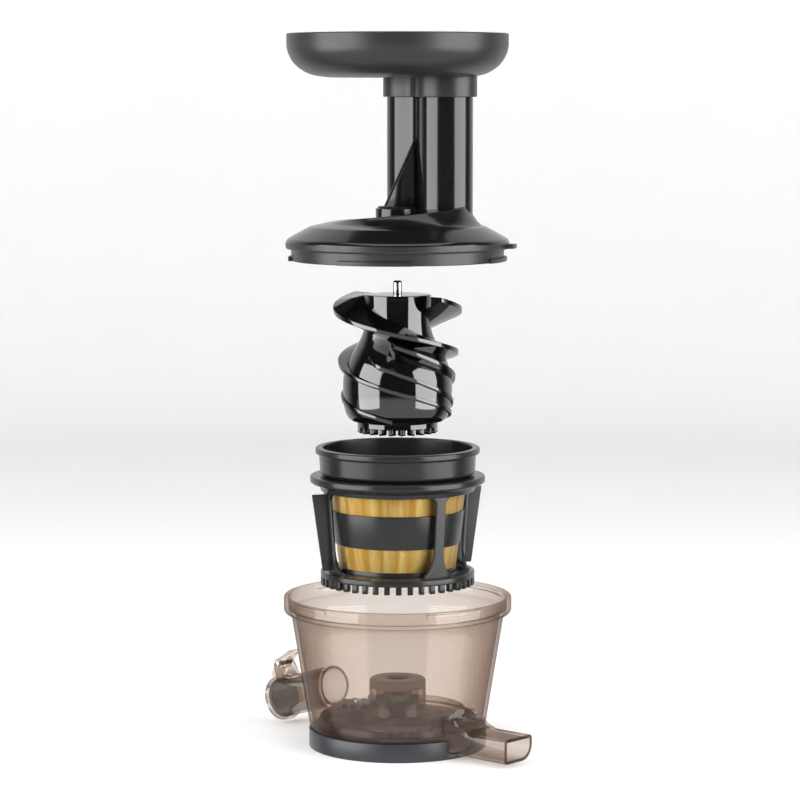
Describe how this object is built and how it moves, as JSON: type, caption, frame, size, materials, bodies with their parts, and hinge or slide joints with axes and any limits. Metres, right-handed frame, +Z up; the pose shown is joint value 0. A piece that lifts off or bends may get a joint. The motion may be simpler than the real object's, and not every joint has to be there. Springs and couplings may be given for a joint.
{
  "type": "cold press juicer",
  "caption": "Slow juicer's juicing set: tinted bowl with two spouts, strainer, geared wiping cage, auger, feed lid and hopper tray.",
  "frame": {"origin": "centre of the drive bore's mouth, in the plane that the base ring stands on", "axes": "+Z up along the auger's axis, +X along the pulp spout, -X along the juice spout"},
  "size_m": [0.2167, 0.15, 0.4674],
  "materials": {
    "base_plastic": "satin",
    "steel": "polished",
    "bowl_clear": "clear gloss",
    "seal_silicone": "matte",
    "gear_plastic": "satin",
    "dark_silicone": "matte",
    "frame_plastic": "gloss",
    "gold_mesh": "fine perforated",
    "auger_plastic": "high gloss",
    "bush_plastic": "satin",
    "lid_plastic": "satin gloss"
  },
  "bodies": {
    "bowl": {"bowl_base": "base_plastic", "base_screws": "steel", "juicing_bowl": "bowl_clear", "drive_seal": "seal_silicone", "idler_axle": "steel", "cap_hinge_pin": "steel"},
    "idler": {"idler_gear": "gear_plastic"},
    "cap": {"juice_cap": "bowl_clear", "juice_cap_seal": "dark_silicone"},
    "strainer": {"strainer_frame": "frame_plastic", "strainer_collar": "frame_plastic", "strainer_mesh_upper": "gold_mesh", "strainer_mesh_lower": "gold_mesh"},
    "brush": {"brush_cage": "frame_plastic", "outer_wiper_blades": "dark_silicone", "inner_wiper_blades": "dark_silicone"},
    "pin": {"auger_pin": "steel"},
    "auger": {"auger": "auger_plastic", "drive_socket": "steel", "socket_retainer": "frame_plastic"},
    "bush": {"lid_bush": "bush_plastic"},
    "lid": {"feed_lid": "lid_plastic", "safety_magnet": "steel", "magnet_cover": "lid_plastic"},
    "tray": {"hopper_tray": "lid_plastic"}
  },
  "joints": [
    {"name": "strainer_seat", "type": "slide", "parent": "bowl", "child": "strainer", "axis": [0, 0, -1], "range_m": [0, 0.0879]},
    {"name": "auger_seat", "type": "slide", "parent": "strainer", "child": "pin", "axis": [0, 0, -1], "range_m": [0, 0.1001]},
    {"name": "lid_seat", "type": "slide", "parent": "pin", "child": "bush", "axis": [0, 0, -1], "range_m": [0, 0.04]},
    {"name": "lid_turn", "type": "hinge", "parent": "bush", "child": "lid", "pos_m": [0, 0, 0.33], "axis": [0, 0, -1], "range_deg": [0, 35]},
    {"name": "tray_lift", "type": "slide", "parent": "lid", "child": "tray", "axis": [0, 0, -1], "range_m": [-0.04, 0]},
    {"name": "auger_spin", "type": "hinge", "parent": "pin", "child": "auger", "pos_m": [0, 0, 0.25], "axis": [0, 0, 1], "continuous": true},
    {"name": "idler_spin", "type": "hinge", "parent": "bowl", "child": "idler", "pos_m": [-0.03616, 0, 0.022], "axis": [0, 0, 1], "continuous": true},
    {"name": "brush_spin", "type": "hinge", "parent": "strainer", "child": "brush", "pos_m": [0, 0, 0.14], "axis": [0, 0, 1], "continuous": true},
    {"name": "cap_hinge", "type": "hinge", "parent": "bowl", "child": "cap", "pos_m": [-0.10489, 0, 0.04072], "axis": [0, -1, 0], "range_deg": [-60, 0]}
  ],
  "couplings": [
    {"joint": "idler_spin", "follows": "auger_spin", "ratio": -2.2},
    {"joint": "brush_spin", "follows": "auger_spin", "ratio": -0.52381}
  ]
}
